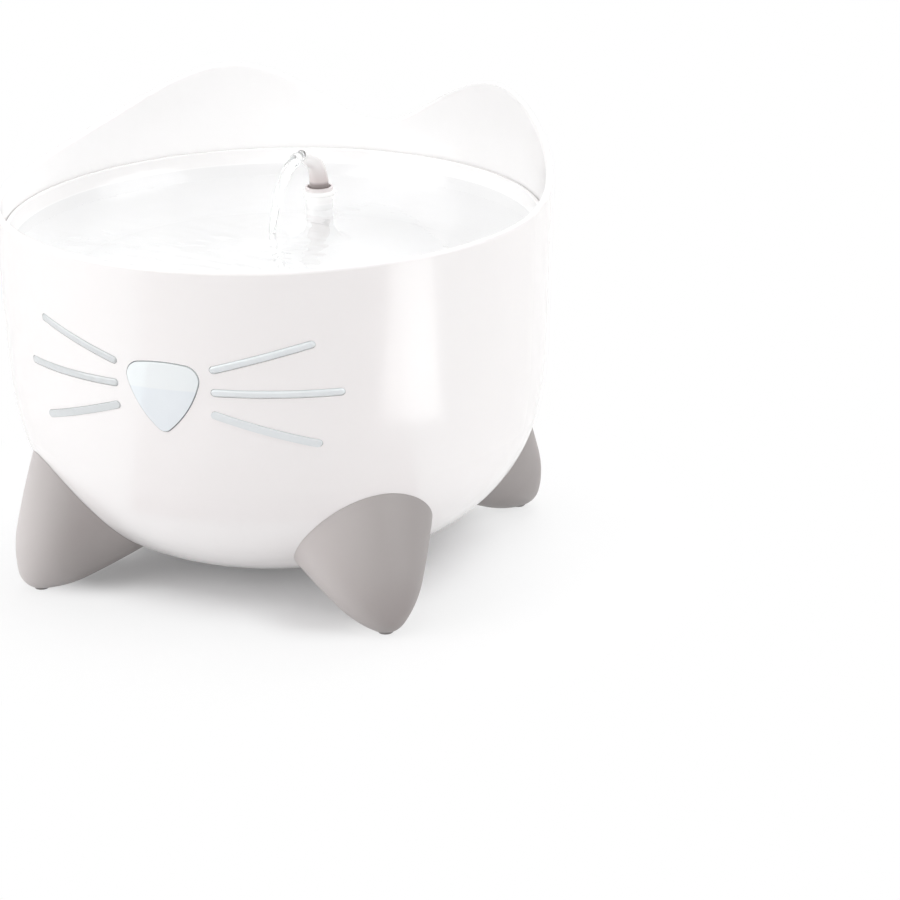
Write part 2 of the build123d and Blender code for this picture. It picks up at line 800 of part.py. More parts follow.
def housing_lid():
    plate = disc(tub_r, tub_rim_z, tub_rim_z + lid_thick)
    rib_r = tub_r - tub_wall - lid_rib_gap
    plate += ring(rib_r, rib_r - lid_rib_width, tub_rim_z - lid_rib_drop, tub_rim_z + lid_thick / 2)
    half = tub_notch_width / 2 + lid_rib_gap
    notch = slab((rib_r - 2 * lid_rib_width, tub_r), (-half, half), (0, tub_rim_z))
    plate -= Rot(0, 0, tub_notch_turn) * notch
    lid = at_tub(plate)
    here = Pos(0, basket_y, 0)
    lid += here * disc(basket_r + basket_wall, basket_floor_z, tub_rim_z + lid_thick / 2)
    lid -= here * disc(basket_r, basket_floor_z + basket_floor_thick, far)
    for hole in grid_holes(basket_floor_z - 1, basket_floor_z + basket_floor_thick + 1):
        lid -= here * hole
    return lid - Pos(0, column_y, 0) * disc(riser_r + riser_hole_gap, 0, far)


cassette_low_z = basket_floor_z + basket_floor_thick
cassette_r = basket_r - cassette_gap
media_r = cassette_r - cassette_wall - lead_gap
foam_low_z = cassette_low_z + cassette_floor_thick
carbon_low_z = foam_low_z + foam_thick
cap_low_z = carbon_low_z + carbon_thick
lid_top_z = tub_rim_z + lid_thick


def cassette_frame():
    body = disc(cassette_r, cassette_low_z, lid_top_z + cap_thick)
    body += disc(basket_r + cassette_flange, lid_top_z, lid_top_z + cap_thick)
    body -= disc(cassette_r - cassette_wall, foam_low_z, far)
    for hole in grid_holes(cassette_low_z - 1, foam_low_z + 1):
        body -= hole
    return Pos(0, basket_y, 0) * body


def filter_foam():
    return Pos(0, basket_y, 0) * disc(media_r, foam_low_z, carbon_low_z)


def carbon_pad():
    return Pos(0, basket_y, 0) * disc(media_r, carbon_low_z, cap_low_z)


def cassette_cap():
    body = disc(media_r, cap_low_z, cap_low_z + cap_thick)
    for hole in grid_holes(cap_low_z - 1, cap_low_z + cap_thick + 1):
        body -= hole
    low = cap_low_z + cap_thick / 2
    half = handle_width / 2
    arch = Rot(90, 0, 0) * ring(handle_reach, handle_reach - handle_thick, -half, half)
    arch = scale(arch, by=(1, 1, handle_height / handle_reach))
    arch = Pos(0, 0, low) * (arch & slab((-far, far), (-far, far), (0, far)))
    return Pos(0, basket_y, 0) * (body + arch)


# ---------------------------------------------------------------- pump

block_low_z = pump_axis_z - block_half_height
block_high_z = pump_axis_z + block_half_height


def pump_body():
    block = slab((-block_half_width, block_half_width), (block_back_y, block_front_y),
                 (block_low_z, block_high_z))
    block = fillet(block.edges().filter_by(Axis.Y), block_round)
    inner_x = block_half_width - block_wall
    cavity = slab((-inner_x, inner_x), (block_back_y - 1, block_front_y - block_wall),
                  (block_low_z + block_wall, block_high_z - block_wall))
    cavity = fillet(cavity.edges().filter_by(Axis.Y), block_round - block_wall)
    body = block - cavity
    body += along_y(disc(chamber_r, block_front_y - 1, chamber_end_y))
    body += along_y(disc(can_r, can_end_y, block_front_y))
    body -= along_y(disc(can_r - can_wall, can_end_y + can_wall, block_front_y + chamber_wall + 1))
    body -= along_y(disc(chamber_r - chamber_wall, block_front_y + chamber_wall, chamber_end_y + 1))
    here = Pos(0, column_y, 0)
    nipple_root = pump_axis_z + chamber_r - chamber_wall / 2
    body += here * disc(nipple_r, nipple_root - 1, nipple_top_z)
    # the nipple's root stays outside the chamber
    body -= along_y(disc(chamber_r - chamber_wall, block_front_y + chamber_wall, chamber_end_y + 1))
    body -= here * disc(nipple_bore_r, pump_axis_z + chamber_r / 2, far)
    gland_hole = Rot(0, 90, 0) * disc(gland_r + cup_gap, inner_x - 1, far)
    body -= Pos(0, gland_y, lead_exit_z) * gland_hole
    for x in (-cup_half_x, cup_half_x):
        for y in cup_y:
            body -= Pos(x, y, 0) * disc(cup_stem_r + cup_gap, 0, block_low_z + cup_stem + cup_gap)
    return body


def pump_rear_cover():
    plate = slab((-block_half_width, block_half_width), (block_back_y - block_wall, block_back_y),
                 (block_low_z, block_high_z))
    return fillet(plate.edges().filter_by(Axis.Y), block_round)


def pump_cover():
    cover = disc(chamber_r, chamber_end_y, chamber_end_y + cover_thick)
    cover += disc(cover_boss_r, chamber_end_y - cover_boss_drop, chamber_end_y + cover_thick / 2)
    cover -= disc(bush_r + lead_gap, 0, chamber_end_y + cover_thick - cover_skin)
    seal_high = chamber_end_y + seal_thick
    cover -= ring(seal_outer_r + lead_gap, seal_inner_r - lead_gap, chamber_end_y - 1, seal_high)
    for index in range(intake_count):
        hole = Pos(intake_ring_r, 0, 0) * disc(intake_hole_r, 0, far)
        cover -= Rot(0, 0, 360 * index / intake_count) * hole
    return along_y(cover)


def cover_seal():
    return along_y(ring(seal_outer_r, seal_inner_r, chamber_end_y, chamber_end_y + seal_thick - lead_gap))


front_bush_low_y = chamber_end_y - cover_boss_drop + bush_gap
front_bush_high_y = chamber_end_y + cover_thick - cover_skin
can_floor_y = can_end_y + can_wall


def front_bush():
    return along_y(ring(bush_r, shaft_r + run_gap / 2, front_bush_low_y, front_bush_high_y))


def rear_bush():
    return along_y(ring(rear_bush_r, shaft_r + run_gap / 2, can_floor_y, can_floor_y + rear_bush_thick))


def impeller_shaft():
    return along_y(disc(shaft_r, can_floor_y + bush_gap, front_bush_high_y - shaft_short))


def rotor_magnet():
    return along_y(ring(magnet_r, shaft_r + run_gap, magnet_low_y, magnet_high_y))


def impeller():
    wheel = disc(hub_r, magnet_high_y, vane_end_y) + disc(wheel_r, wheel_y, wheel_y + wheel_thick)
    half = vane_thick / 2
    vane = slab((hub_r - 1, wheel_r), (-half, half), (wheel_y, vane_end_y))
    for index in range(vane_count):
        wheel += Rot(0, 0, 360 * index / vane_count) * vane
    return along_y(wheel - disc(shaft_r + run_gap, 0, far))


def stator_core():
    """A U of laminations whose legs lie beside the rotor's can."""
    height = (pump_axis_z - core_half_height, pump_axis_z + core_half_height)
    core = slab((-core_half_width, core_half_width), (core_low_y, core_low_y + core_yoke), height)
    leg_x = can_r + core_leg_gap
    for side in (-1, 1):
        xs = sorted((side * leg_x, side * core_half_width))
        core += slab(xs, (core_low_y, core_high_y), height)
    return core


def stator_coil():
    inner_z = core_half_height + coil_gap
    inner_y = (core_low_y - coil_gap, core_low_y + core_yoke + coil_gap)
    outer = slab((-coil_half_width, coil_half_width), (inner_y[0] - coil_build, inner_y[1] + coil_build),
                 (pump_axis_z - inner_z - coil_build, pump_axis_z + inner_z + coil_build))
    outer = fillet(outer.edges().filter_by(Axis.X), coil_build / 2)
    hole = slab((-far, far), inner_y, (pump_axis_z - inner_z, pump_axis_z + inner_z))
    return outer - hole


def driver_board():
    top_z = board_z + board_thick
    board = slab((-board_half_width, board_half_width), (board_low_y, board_high_y), (board_z, top_z))
    low_y = board_low_y + chip_back
    for x in chip_x:
        board += slab((x, x + chip_size), (low_y, low_y + chip_size), (top_z, top_z + chip_rise))
    return board


def lead_gland():
    inner_x = block_half_width - block_wall
    gland = disc(gland_r, inner_x, block_half_width + 0.5)
    gland += disc(gland_flange_r, block_half_width, block_half_width + 1.2)
    gland += Pos(0, 0, block_half_width + 1) * Cone(gland_r, gland_r - 0.6, gland_tail,
                                                    align=(Align.CENTER, Align.CENTER, Align.MIN))
    gland -= disc(lead_r + lead_gap, 0, far)
    return Pos(0, gland_y, lead_exit_z) * Rot(0, 90, 0) * gland


def suction_cup(x, y):
    low = tub_base_z + tub_wall
    points = ((0, low + 1.0), (cup_r - 1.2, low), (cup_r, low), (cup_r, low + 0.6), (cup_neck_r, low + 2.6),
              (cup_neck_r, block_low_z), (cup_stem_r, block_low_z), (cup_stem_r, block_low_z + cup_stem),
              (0, block_low_z + cup_stem))
    return Pos(x, y, 0) * turned(points)


def pieces():
    """Every piece by its node's name."""
    made = {"bowl_shell": bowl_shell(), "nose_lens": nose_lens(), "nose_gasket": nose_gasket()}
    for side, side_name in ((-1, "left"), (1, "right")):
        for whisker in whiskers:
            made[f"whisker_{side_name}_{whisker[0]}"] = whisker_bar(side, whisker)
    for index, name in enumerate(foot_names):
        made[f"foot_{name}"] = foot(index)
        made[f"foot_pad_{name}"] = foot_pad(index)
    for name, x, y in (("rear_left", -cup_half_x, cup_y[1]), ("rear_right", cup_half_x, cup_y[1]),
                       ("front_left", -cup_half_x, cup_y[0]), ("front_right", cup_half_x, cup_y[0])):
        made[f"suction_cup_{name}"] = suction_cup(x, y)
    for make in (power_socket, socket_seal, socket_nut, socket_boot, pump_lead, drinking_dish, nozzle_ring,
                 spout_tube, spout_seal, riser_tube, riser_sleeve, filter_housing, housing_lid,
                 cassette_frame, filter_foam, carbon_pad, cassette_cap, pump_body, pump_rear_cover,
                 pump_cover, cover_seal, front_bush, rear_bush, impeller_shaft, rotor_magnet, impeller,
                 stator_core, stator_coil, driver_board, lead_gland):
        made[make.__name__] = make()
    return made


os.makedirs("parts", exist_ok=True)
for node, shape in pieces().items():
    export_step(shape, f"parts/{node}.step")
    print(node, round(shape.volume, 1))
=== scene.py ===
# %% [markdown]
# # A pet water fountain with a cat's face
#
# The object is a round white bowl on four splayed feet. Its rim grows into two ears at the back,
# a shallow dish hangs inside the rim, and a small gooseneck spout lets a stream fall into the
# dish's middle. The hard parts come from a CAD model. This lesson gives them their finishes,
# rounds off the small trim, and adds what CAD leaves out: the water.
#
# The first cell loads the model.

# %% Load the model
from math import cos, exp, hypot, pi, radians, sin

import bmesh
import bpy
from mathutils import Matrix, Vector, noise


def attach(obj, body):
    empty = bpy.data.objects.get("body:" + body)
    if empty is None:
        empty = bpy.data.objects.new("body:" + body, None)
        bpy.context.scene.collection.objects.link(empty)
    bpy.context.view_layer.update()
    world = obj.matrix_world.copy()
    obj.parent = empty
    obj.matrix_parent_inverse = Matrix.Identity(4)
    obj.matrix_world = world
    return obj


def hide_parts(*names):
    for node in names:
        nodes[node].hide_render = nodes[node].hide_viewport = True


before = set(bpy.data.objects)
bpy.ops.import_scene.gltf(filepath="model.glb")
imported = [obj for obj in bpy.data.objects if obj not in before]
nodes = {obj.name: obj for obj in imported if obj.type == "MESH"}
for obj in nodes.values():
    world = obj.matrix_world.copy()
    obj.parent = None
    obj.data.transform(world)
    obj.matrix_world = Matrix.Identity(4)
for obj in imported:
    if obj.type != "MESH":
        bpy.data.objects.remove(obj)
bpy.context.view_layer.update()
MM = 0.001

# %% [markdown]
# ## The camera
#
# A long lens from a little above keeps the rim's ellipse calm. The camera could be aimed with a
# Track To constraint. A matrix built from its own three axes is exact, and leaves nothing that
# moves later.

# %% Camera
view_turn, view_rise, view_roll = radians(21.506), radians(19.576), radians(-1.155)
view_distance, view_lens = 1.66422, 154.0916
view_centre = Vector((0.0, 0.0, 0.080))
view_shift = Vector((-0.073513, 0.033662))

back = Vector((sin(view_turn) * cos(view_rise), -cos(view_turn) * cos(view_rise), sin(view_rise)))
level_right = Vector((cos(view_turn), sin(view_turn), 0.0))
level_up = back.cross(level_right)
right = level_right * cos(view_roll) + level_up * sin(view_roll)
up = level_up * cos(view_roll) - level_right * sin(view_roll)

camera = bpy.data.objects.new("camera", bpy.data.cameras.new("camera"))
camera.data.lens = view_lens
camera.data.sensor_width = 36.0
camera.data.clip_start = 0.05
camera.data.clip_end = 20.0
place = view_centre + back * view_distance - right * view_shift.x - up * view_shift.y
camera.matrix_world = Matrix((right, up, back)).transposed().to_4x4()
camera.location = place
bpy.context.scene.collection.objects.link(camera)
bpy.context.scene.camera = camera
print("camera at", [round(v, 3) for v in place])

# %% [markdown]
# ## Helpers
#
# Every mesh below is built in a bmesh, and then becomes an object in the same five steps, so they
# are one function.
#
# Every finish is built from nodes. Writing `mask * 0.2 + 0.3` is easier to read than two Math
# nodes and their links, so a small class wraps one socket and overloads the operators. A second
# class owns a node tree and adds any other node, and a third is a material with such a tree.

# %% An object from a bmesh
def placed(name, mesh, finish):
    """Turns a bmesh into an object at the origin, gives it its finish and puts it into the scene."""
    thing = bpy.data.objects.new(name, bpy.data.meshes.new(name))
    mesh.to_mesh(thing.data)
    mesh.free()
    thing.data.materials.append(finish.material)
    bpy.context.scene.collection.objects.link(thing)
    return thing


# %% A socket that can be used in sums
class Wire:
    """One output socket of a tree's nodes."""

    def __init__(self, owner, socket):
        self.owner = owner
        self.socket = socket

    def math(self, operation, first, second):
        return self.owner.add("ShaderNodeMath", {"operation": operation}, {0: first, 1: second})

    def __add__(self, other):
        return self.math("ADD", self, other)

    def __sub__(self, other):
        return self.math("SUBTRACT", self, other)

    def __rsub__(self, other):
        return self.math("SUBTRACT", other, self)

    def __mul__(self, other):
        return self.math("MULTIPLY", self, other)

    __radd__ = __add__
    __rmul__ = __mul__


# %% A tree that nodes are added to
def tint(value):
    """A colour written as three numbers gets its alpha."""
    return tuple(value) + (1.0,) if isinstance(value, tuple) and len(value) == 3 else value


class Nodes:
    """The nodes of a material or of the world, and one way to add more."""

    def __init__(self, tree):
        self.tree = tree
        self.output = next(node for node in tree.nodes if node.type.startswith("OUTPUT"))

    def fill(self, node, inputs):
        for key, value in inputs.items():
            if isinstance(value, Wire):
                self.tree.links.new(value.socket, node.inputs[key])
            else:
                node.inputs[key].default_value = value

    def add(self, kind, settings=None, inputs=None, output=0):
        node = self.tree.nodes.new(kind)
        for key, value in (settings or {}).items():
            setattr(node, key, value)
        self.fill(node, inputs or {})
        return Wire(self, node.outputs[output])

    def show(self, shader):
        """Makes this shader the one that is seen."""
        self.tree.links.new(shader.socket, self.output.inputs[0])

    def shown_rays(self):
        """1 or more for rays from the lens, off gloss or through glass, and 0 for plain light."""
        flags = self.add("ShaderNodeLightPath").socket.node.outputs
        names = ("Is Camera Ray", "Is Glossy Ray", "Is Transmission Ray")
        lens_ray, gloss_ray, glass_ray = (Wire(self, flags[name]) for name in names)
        return lens_ray + gloss_ray + glass_ray


# %% A material
class Finish(Nodes):
    """A material, its Principled shader and the nodes that finishes are made of."""

    def __init__(self, name):
        self.material = bpy.data.materials.new(name)
        self.material.use_nodes = True
        super().__init__(self.material.node_tree)
        self.shader = next(node for node in self.tree.nodes if node.type == "BSDF_PRINCIPLED")

    def set(self, **inputs):
        """Sets or links sockets of the Principled shader: base_color becomes Base Color."""
        sockets = {socket.name.lower(): socket.name for socket in self.shader.inputs}
        self.fill(self.shader, {sockets[key.replace("_", " ")]: tint(value)
                                for key, value in inputs.items()})

    def point(self):
        """The place on the piece, in metres."""
        return self.add("ShaderNodeTexCoord", output=3)

    def axis(self, name):
        """One of the place's three numbers."""
        return self.add("ShaderNodeSeparateXYZ", inputs={0: self.point()}, output="XYZ".index(name))

    def from_axis(self):
        """How far the place is from the upright line through the origin."""
        flat = self.add("ShaderNodeVectorMath", {"operation": "MULTIPLY"},
                        {0: self.point(), 1: (1.0, 1.0, 0.0)})
        return self.add("ShaderNodeVectorMath", {"operation": "LENGTH"}, {0: flat}, output=1)

    def noise(self, size, detail=2.0, roughness=0.5):
        """Soft noise from 0 to 1, whose lumps are about this size in metres."""
        return self.add("ShaderNodeTexNoise", {"noise_dimensions": "3D"},
                        {"Vector": self.point(), "Scale": 1.0 / size,
                         "Detail": detail, "Roughness": roughness})

    def step(self, value, low, high):
        """0 below low, 1 above high, smooth between them."""
        return self.add("ShaderNodeMapRange", {"interpolation_type": "SMOOTHSTEP"},
                        {0: value, 1: low, 2: high, 3: 0.0, 4: 1.0})

    def between(self, amount, first, second):
        """The first colour at 0, the second at 1."""
        return self.add("ShaderNodeMix", {"data_type": "RGBA"},
                        {0: amount, 6: tint(first), 7: tint(second)}, output=2)

    def bump(self, height, depth):
        """Relief of this depth in metres."""
        return self.add("ShaderNodeBump",
                        inputs={"Strength": 1.0, "Distance": depth, "Height": height})


# %% [markdown]
# ## Studio
#
# The set is a pale floor under a pale sky. The lights stay at a plain level: a big soft box in
# front on the left, weaker ones in front and on the right, and two behind and above that are kept
# out of reflections. A small strip lies low and close on the right and is seen only in
# reflections, where it draws the bright band down the glossy bowl. The background is white only
# for rays that start at the lens, bounce off something shiny or pass through glass, so it puts no
# extra light on the object.

# %% Floor
near_r, open_r, far_r = 0.06, 0.10, 0.20
base_glow, near_glow, open_glow = 0.12, 0.60, 0.28
painted_foot_shadows = {(-0.060, -0.054, 0.0): 0.8, (0.046, -0.071, 0.0): 0.7}
spot_low, spot_high = 0.008, 0.034
white = (1.0, 1.0, 1.0, 1.0)

floor_finish = Finish("pale_floor")
floor_finish.set(base_color=(0.86, 0.86, 0.865), roughness=0.9, specular_ior_level=0.1)
from_middle = floor_finish.from_axis()
near_floor = floor_finish.step(from_middle, near_r, open_r)
open_floor = floor_finish.step(from_middle, open_r, far_r)
# Painted shadow: round each front foot the floor's glow is cut, so the floor is painted darker there.
for foot_spot, darker in painted_foot_shadows.items():
    from_foot = floor_finish.add("ShaderNodeVectorMath", {"operation": "DISTANCE"},
                                 {0: floor_finish.point(), 1: foot_spot}, output=1)
    painted_shadow = 1.0 - floor_finish.step(from_foot, spot_low, spot_high)
    near_floor = near_floor * (1.0 - painted_shadow * darker)
floor_glow = near_floor * near_glow + open_floor * open_glow + base_glow
floor_finish.show(floor_finish.add("ShaderNodeMixShader", inputs={
    0: floor_finish.shown_rays() * floor_glow,
    1: Wire(floor_finish, floor_finish.shader.outputs[0]),
    2: floor_finish.add("ShaderNodeEmission", inputs={0: white, 1: 1.0})}))

mesh = bmesh.new()
bmesh.ops.create_grid(mesh, x_segments=1, y_segments=1, size=6.0)
floor = placed("floor", mesh, floor_finish)

# %% Sky
light_strength, shown_strength = 0.15, 1.0
world = bpy.data.worlds.new("studio")
bpy.context.scene.world = world
world.use_nodes = True
sky = Nodes(world.node_tree)
sky_light = world.node_tree.nodes["Background"]
sky.fill(sky_light, {0: white, 1: light_strength})
sky.show(sky.add("ShaderNodeMixShader", inputs={
    0: sky.shown_rays(),
    1: Wire(sky, sky_light.outputs[0]),
    2: sky.add("ShaderNodeBackground", inputs={0: white, 1: shown_strength})}))


# %% Lamps
def soft_box(name, place, aim, size, power, diffuse=True, glossy=True):
    """A lamp that faces its aim. It can be left out of reflections, or show only there."""
    lamp = bpy.data.lights.new(name, "AREA")
    lamp.shape = "RECTANGLE"
    lamp.size, lamp.size_y = size
    lamp.energy = power
    box = bpy.data.objects.new(name, lamp)
    box.location = place
    box.rotation_euler = (Vector(aim) - Vector(place)).to_track_quat("-Z", "Y").to_euler()
    box.visible_camera = False
    box.visible_diffuse = diffuse
    box.visible_glossy = glossy
    bpy.context.scene.collection.objects.link(box)


bowl_middle = (0.0, 0.0, 0.08)
soft_box("key", (-0.88, -0.92, 0.85), bowl_middle, (1.2, 1.2), 11.9)
soft_box("front", (0.35, -1.6, 0.75), bowl_middle, (1.2, 0.9), 5.2)
soft_box("fill", (1.2, 0.1, 0.8), bowl_middle, (1.0, 1.0), 8.6)
soft_box("back", (0.0, 1.2, 0.9), bowl_middle, (1.4, 0.8), 14.0, glossy=False)
soft_box("top", (-0.1, 0.0, 1.7), (0.0, 0.0, 0.1), (1.4, 1.2), 11.7, glossy=False)
soft_box("strip", (0.2809, -0.0994, 0.0509), (0.2249, -0.0924, 0.2309), (0.098, 0.131), 0.088,
         diffuse=False)

# %% [markdown]
# A glossy bowl mirrors the floor in front of it. A plain white floor would wash its front out, so
# a grey card lies there, as on a studio table. It is a sector of a ring, made by turning one edge
# about the bowl's axis, and only reflections see it.

# %% Grey card on the floor
card_turn, card_sweep = radians(-28), radians(97)
card_near, card_far, card_z = 0.122, 0.60, 0.0012

card_finish = Finish("grey_card")
card_finish.show(card_finish.add("ShaderNodeEmission", inputs={0: (0.42, 0.26, 0.26, 1.0), 1: 1.0}))

mesh = bmesh.new()
near = mesh.verts.new((0.0, -card_near, card_z))
far = mesh.verts.new((0.0, -card_far, card_z))
spoke = mesh.edges.new((near, far))
bmesh.ops.spin(mesh, geom=[near, far, spoke], cent=(0, 0, 0), axis=(0, 0, 1),
               angle=card_sweep, steps=24)
bmesh.ops.rotate(mesh, cent=(0, 0, 0), matrix=Matrix.Rotation(card_turn, 3, "Z"), verts=mesh.verts)
card = placed("grey_card", mesh, card_finish)
card.visible_camera = card.visible_diffuse = False
card.visible_shadow = card.visible_transmission = False

# %% [markdown]
# ## Finishes
#
# Injection moulded plastic is never quite even: the colour drifts a little over the size of a
# hand, the polish varies, and the skin has a faint ripple finer than a millimetre. One function
# gives every plastic here those three, with its own numbers. Where a piece has more than one tone,
# its colour is left to its own cell.

# %% Moulded plastic
drift_size, worn_size = 0.07, 0.011


def moulded(name, colour=None, drift=0.02, polish=0.25, polish_drift=0.06,
            ripple=0.9, depth=0.004, coat=0.0):
    """Plastic from a mould: colour drift, uneven polish and a fine ripple, in millimetres."""
    finish = Finish(name)
    worn = finish.noise(worn_size, detail=4.0, roughness=0.6)
    fine = finish.noise(ripple * MM)
    finish.set(roughness=worn * (2.0 * polish_drift) + (polish - polish_drift),
               normal=finish.bump(fine, depth * MM), coat_weight=coat, coat_roughness=0.06)
    if colour:
        darker = tuple(channel * (1.0 - 2.0 * drift) for channel in colour)
        finish.set(base_color=finish.between(finish.noise(drift_size, detail=3.0), darker, colour))
    return finish


# %% [markdown]
# The bowl is one white, but the inner side of the ears catches other light than the outside does,
# and that light is painted into its colour: the inner side is painted paler than the outside, and
# painted shade darkens it towards the right. The wall leans outwards, so the middle of its
# thickness is a radius that grows with height, and a place nearer to the axis than that is on the
# inner side. The dish is a shade paler below its water line than above it: painted shade on its
# dry rim.

# %% Bowl and dish
wall_lean, wall_foot_r, wall_blur = 0.0454, 0.10979, 0.0004
seam_low, seam_high = 0.148, 0.150
ear_left_x, ear_right_x = -0.05, 0.07
shell_gloss = moulded("white_gloss_shell", polish=0.22, coat=0.35)
shell_z = shell_gloss.axis("Z")
wall_middle = shell_z * wall_lean + wall_foot_r
inner_side = shell_gloss.step(wall_middle - shell_gloss.from_axis(), -wall_blur, wall_blur)
above_dish = shell_gloss.step(shell_z, seam_low, seam_high)
# Painted shade: the ears' inner side darkens from the left towards the right.
painted_shade_to_right = shell_gloss.step(shell_gloss.axis("X"), ear_left_x, ear_right_x)
inner_painted_light = shell_gloss.between(painted_shade_to_right, (0.945, 0.937, 0.935), (0.865, 0.855, 0.853))
shell_tone = shell_gloss.between(inner_side * above_dish, (0.915, 0.893, 0.889), inner_painted_light)
shell_gloss.set(base_color=shell_tone, coat_roughness=0.11)

wet_z, dry_z = 0.1425, 0.1440
dish_gloss = moulded("white_gloss_dish", polish=0.20, coat=0.3)
# Painted shade: the dish is darker above its water line.
dry_rim_painted_shade = dish_gloss.step(dish_gloss.axis("Z"), wet_z, dry_z)
dish_gloss.set(base_color=dish_gloss.between(dry_rim_painted_shade, (0.955, 0.952, 0.95), (0.89, 0.88, 0.878)))

# %% [markdown]
# The feet are a warm grey with painted shade that grows deeper across each foot, from its left to
# its right. The same happens on either side of the bowl, so the place is measured from the middle of
# its own foot. The feet on the right are painted more in shade: they start from a deeper tone than
# those on the left.

# %% Feet
foot_out, foot_shift, foot_half, sides_blur = 0.0725, 0.0065, 0.028, 0.01
foot_matt = moulded("warm_grey_foot", polish=0.48, ripple=0.5, depth=0.012)
foot_x = foot_matt.axis("X")
foot_side = foot_matt.add("ShaderNodeMath", {"operation": "SIGN"}, {0: foot_x})
# Painted shade: each foot darkens from its left to its right.
painted_foot_shade = foot_matt.step(foot_x - foot_side * foot_out + foot_shift, -foot_half, foot_half)
# Painted shade: the feet on the right start from a deeper lit tone.
right_feet_painted_shade = foot_matt.step(foot_x, -sides_blur, sides_blur)
foot_painted_light = foot_matt.between(right_feet_painted_shade, (0.77, 0.725, 0.715), (0.62, 0.58, 0.57))
foot_matt.set(base_color=foot_matt.between(painted_foot_shade, foot_painted_light, (0.352, 0.325, 0.318)))

# %% [markdown]
# The spout is paler towards its mouth, and a painted shadow darkens a short zone where it leaves
# the collar, where the collar's recess shades it. The collar is white, with a grey ring on top.

# %% Spout and collar
neck_z, mouth_top_z = 0.150, 0.168
root_low, root_high = (0.1475, 0.1490), (0.1513, 0.1532)
collar_low, collar_high = 0.1486, 0.1488

spout_satin = moulded("warm_grey_spout", polish=0.22, coat=0.3)
spout_z = spout_satin.axis("Z")
to_mouth = spout_satin.step(spout_z, neck_z, mouth_top_z)
spout_tone = spout_satin.between(to_mouth, (0.58, 0.515, 0.505), (0.86, 0.845, 0.84))
# Painted shadow: dark in a short zone where the spout leaves the collar.
outside_painted_shadow = spout_satin.step(spout_z, *root_high) + (1.0 - spout_satin.step(spout_z, *root_low))
spout_satin.set(base_color=spout_satin.between(outside_painted_shadow, (0.27, 0.232, 0.226), spout_tone))

collar_satin = moulded("white_and_grey_collar", polish=0.20, coat=0.3)
collar_top = collar_satin.step(collar_satin.axis("Z"), collar_low, collar_high)
collar_tone = collar_satin.between(collar_top, (0.905, 0.90, 0.895), (0.74, 0.69, 0.69))
collar_satin.set(base_color=collar_tone)

# %% Plastics of the inside
inner_satin = moulded("white_satin_inside", (0.80, 0.80, 0.80), polish=0.35)
cassette_satin = moulded("cassette_white", (0.83, 0.83, 0.80), polish=0.40)
pump_satin = moulded("pump_charcoal", (0.045, 0.045, 0.05), drift=0.1, polish=0.38, depth=0.01)
wheel_satin = moulded("impeller_grey", (0.62, 0.63, 0.66), polish=0.35)
socket_satin = moulded("socket_black", (0.02, 0.02, 0.022), drift=0.1, polish=0.30)
shaft_white = moulded("ceramic_shaft", (0.80, 0.79, 0.75), polish=0.14, polish_drift=0.03,
                      depth=0.001)
print("plastics made")

# %% [markdown]
# Rubber is duller and grainier than plastic, and dust sits in its grain. Metals need a direction:
# the laminated core shows its sheets as fine lines, the coil its turns of wire, and the nut a
# turned face.

# %% Rubber
patch_size, dust_pale = 0.009, 0.09


def rubbery(name, colour, grain=0.35, dust=0.35):
    """Soft rubber with a fine grain and a little dust in it."""
    finish = Finish(name)
    grains = finish.noise(grain * MM, detail=3.0)
    patches = finish.noise(patch_size, detail=3.0)
    dusty = tuple(min(1.0, channel + dust_pale) for channel in colour)
    finish.set(base_color=finish.between(patches * dust, colour, dusty),
               roughness=grains * 0.15 + 0.6, normal=finish.bump(grains, 0.02 * MM))
    return finish


# %% Metal
tarnish_size, tarnish_dark = 0.006, 0.72


def lined_metal(name, colour, direction, pitch, polish, depth):
    """Metal with fine lines across one direction: sheets, turns of wire or a turned face."""
    finish = Finish(name)
    lines = finish.add("ShaderNodeTexWave", {"wave_type": "BANDS", "bands_direction": direction},
                       {"Vector": finish.point(), "Scale": pi / 10.0 / pitch,
                        "Distortion": 0.3, "Detail": 2.0}, output=1)
    tarnish = finish.noise(tarnish_size, detail=4.0)
    darker = tuple(channel * tarnish_dark for channel in colour)
    finish.set(base_color=finish.between(tarnish, darker, colour), metallic=1.0,
               roughness=tarnish * 0.15 + (polish - 0.08), normal=finish.bump(lines, depth * MM))
    return finish


# %% Rubbers and metals of this object
seal_rubber = rubbery("seal_rubber", (0.035, 0.035, 0.038))
soft_grey = rubbery("soft_silicone", (0.42, 0.42, 0.43))
gasket_grey = rubbery("window_gasket", (0.20, 0.22, 0.24))
pad_grey = rubbery("foot_pad_rubber", (0.33, 0.31, 0.305))
lead_rubber = rubbery("lead_rubber", (0.02, 0.02, 0.02))
nut_metal = lined_metal("plated_nut", (0.66, 0.62, 0.54), "Y", 0.0006, 0.28, 0.01)
core_metal = lined_metal("laminated_core", (0.36, 0.36, 0.38), "Z", 0.0005, 0.42, 0.06)
coil_metal = lined_metal("enamelled_wire", (0.62, 0.27, 0.12), "X", 0.00035, 0.30, 0.12)
magnet_dark = rubbery("ferrite_magnet", (0.05, 0.05, 0.052), grain=0.2, dust=0.15)

# %% [markdown]
# Three fillings have patterns of their own: the foam's strands are the walls between the cells of
# a Voronoi pattern, the carbon's grains are such cells, and the driver board's tracks are the joints
# of a grid of bricks.

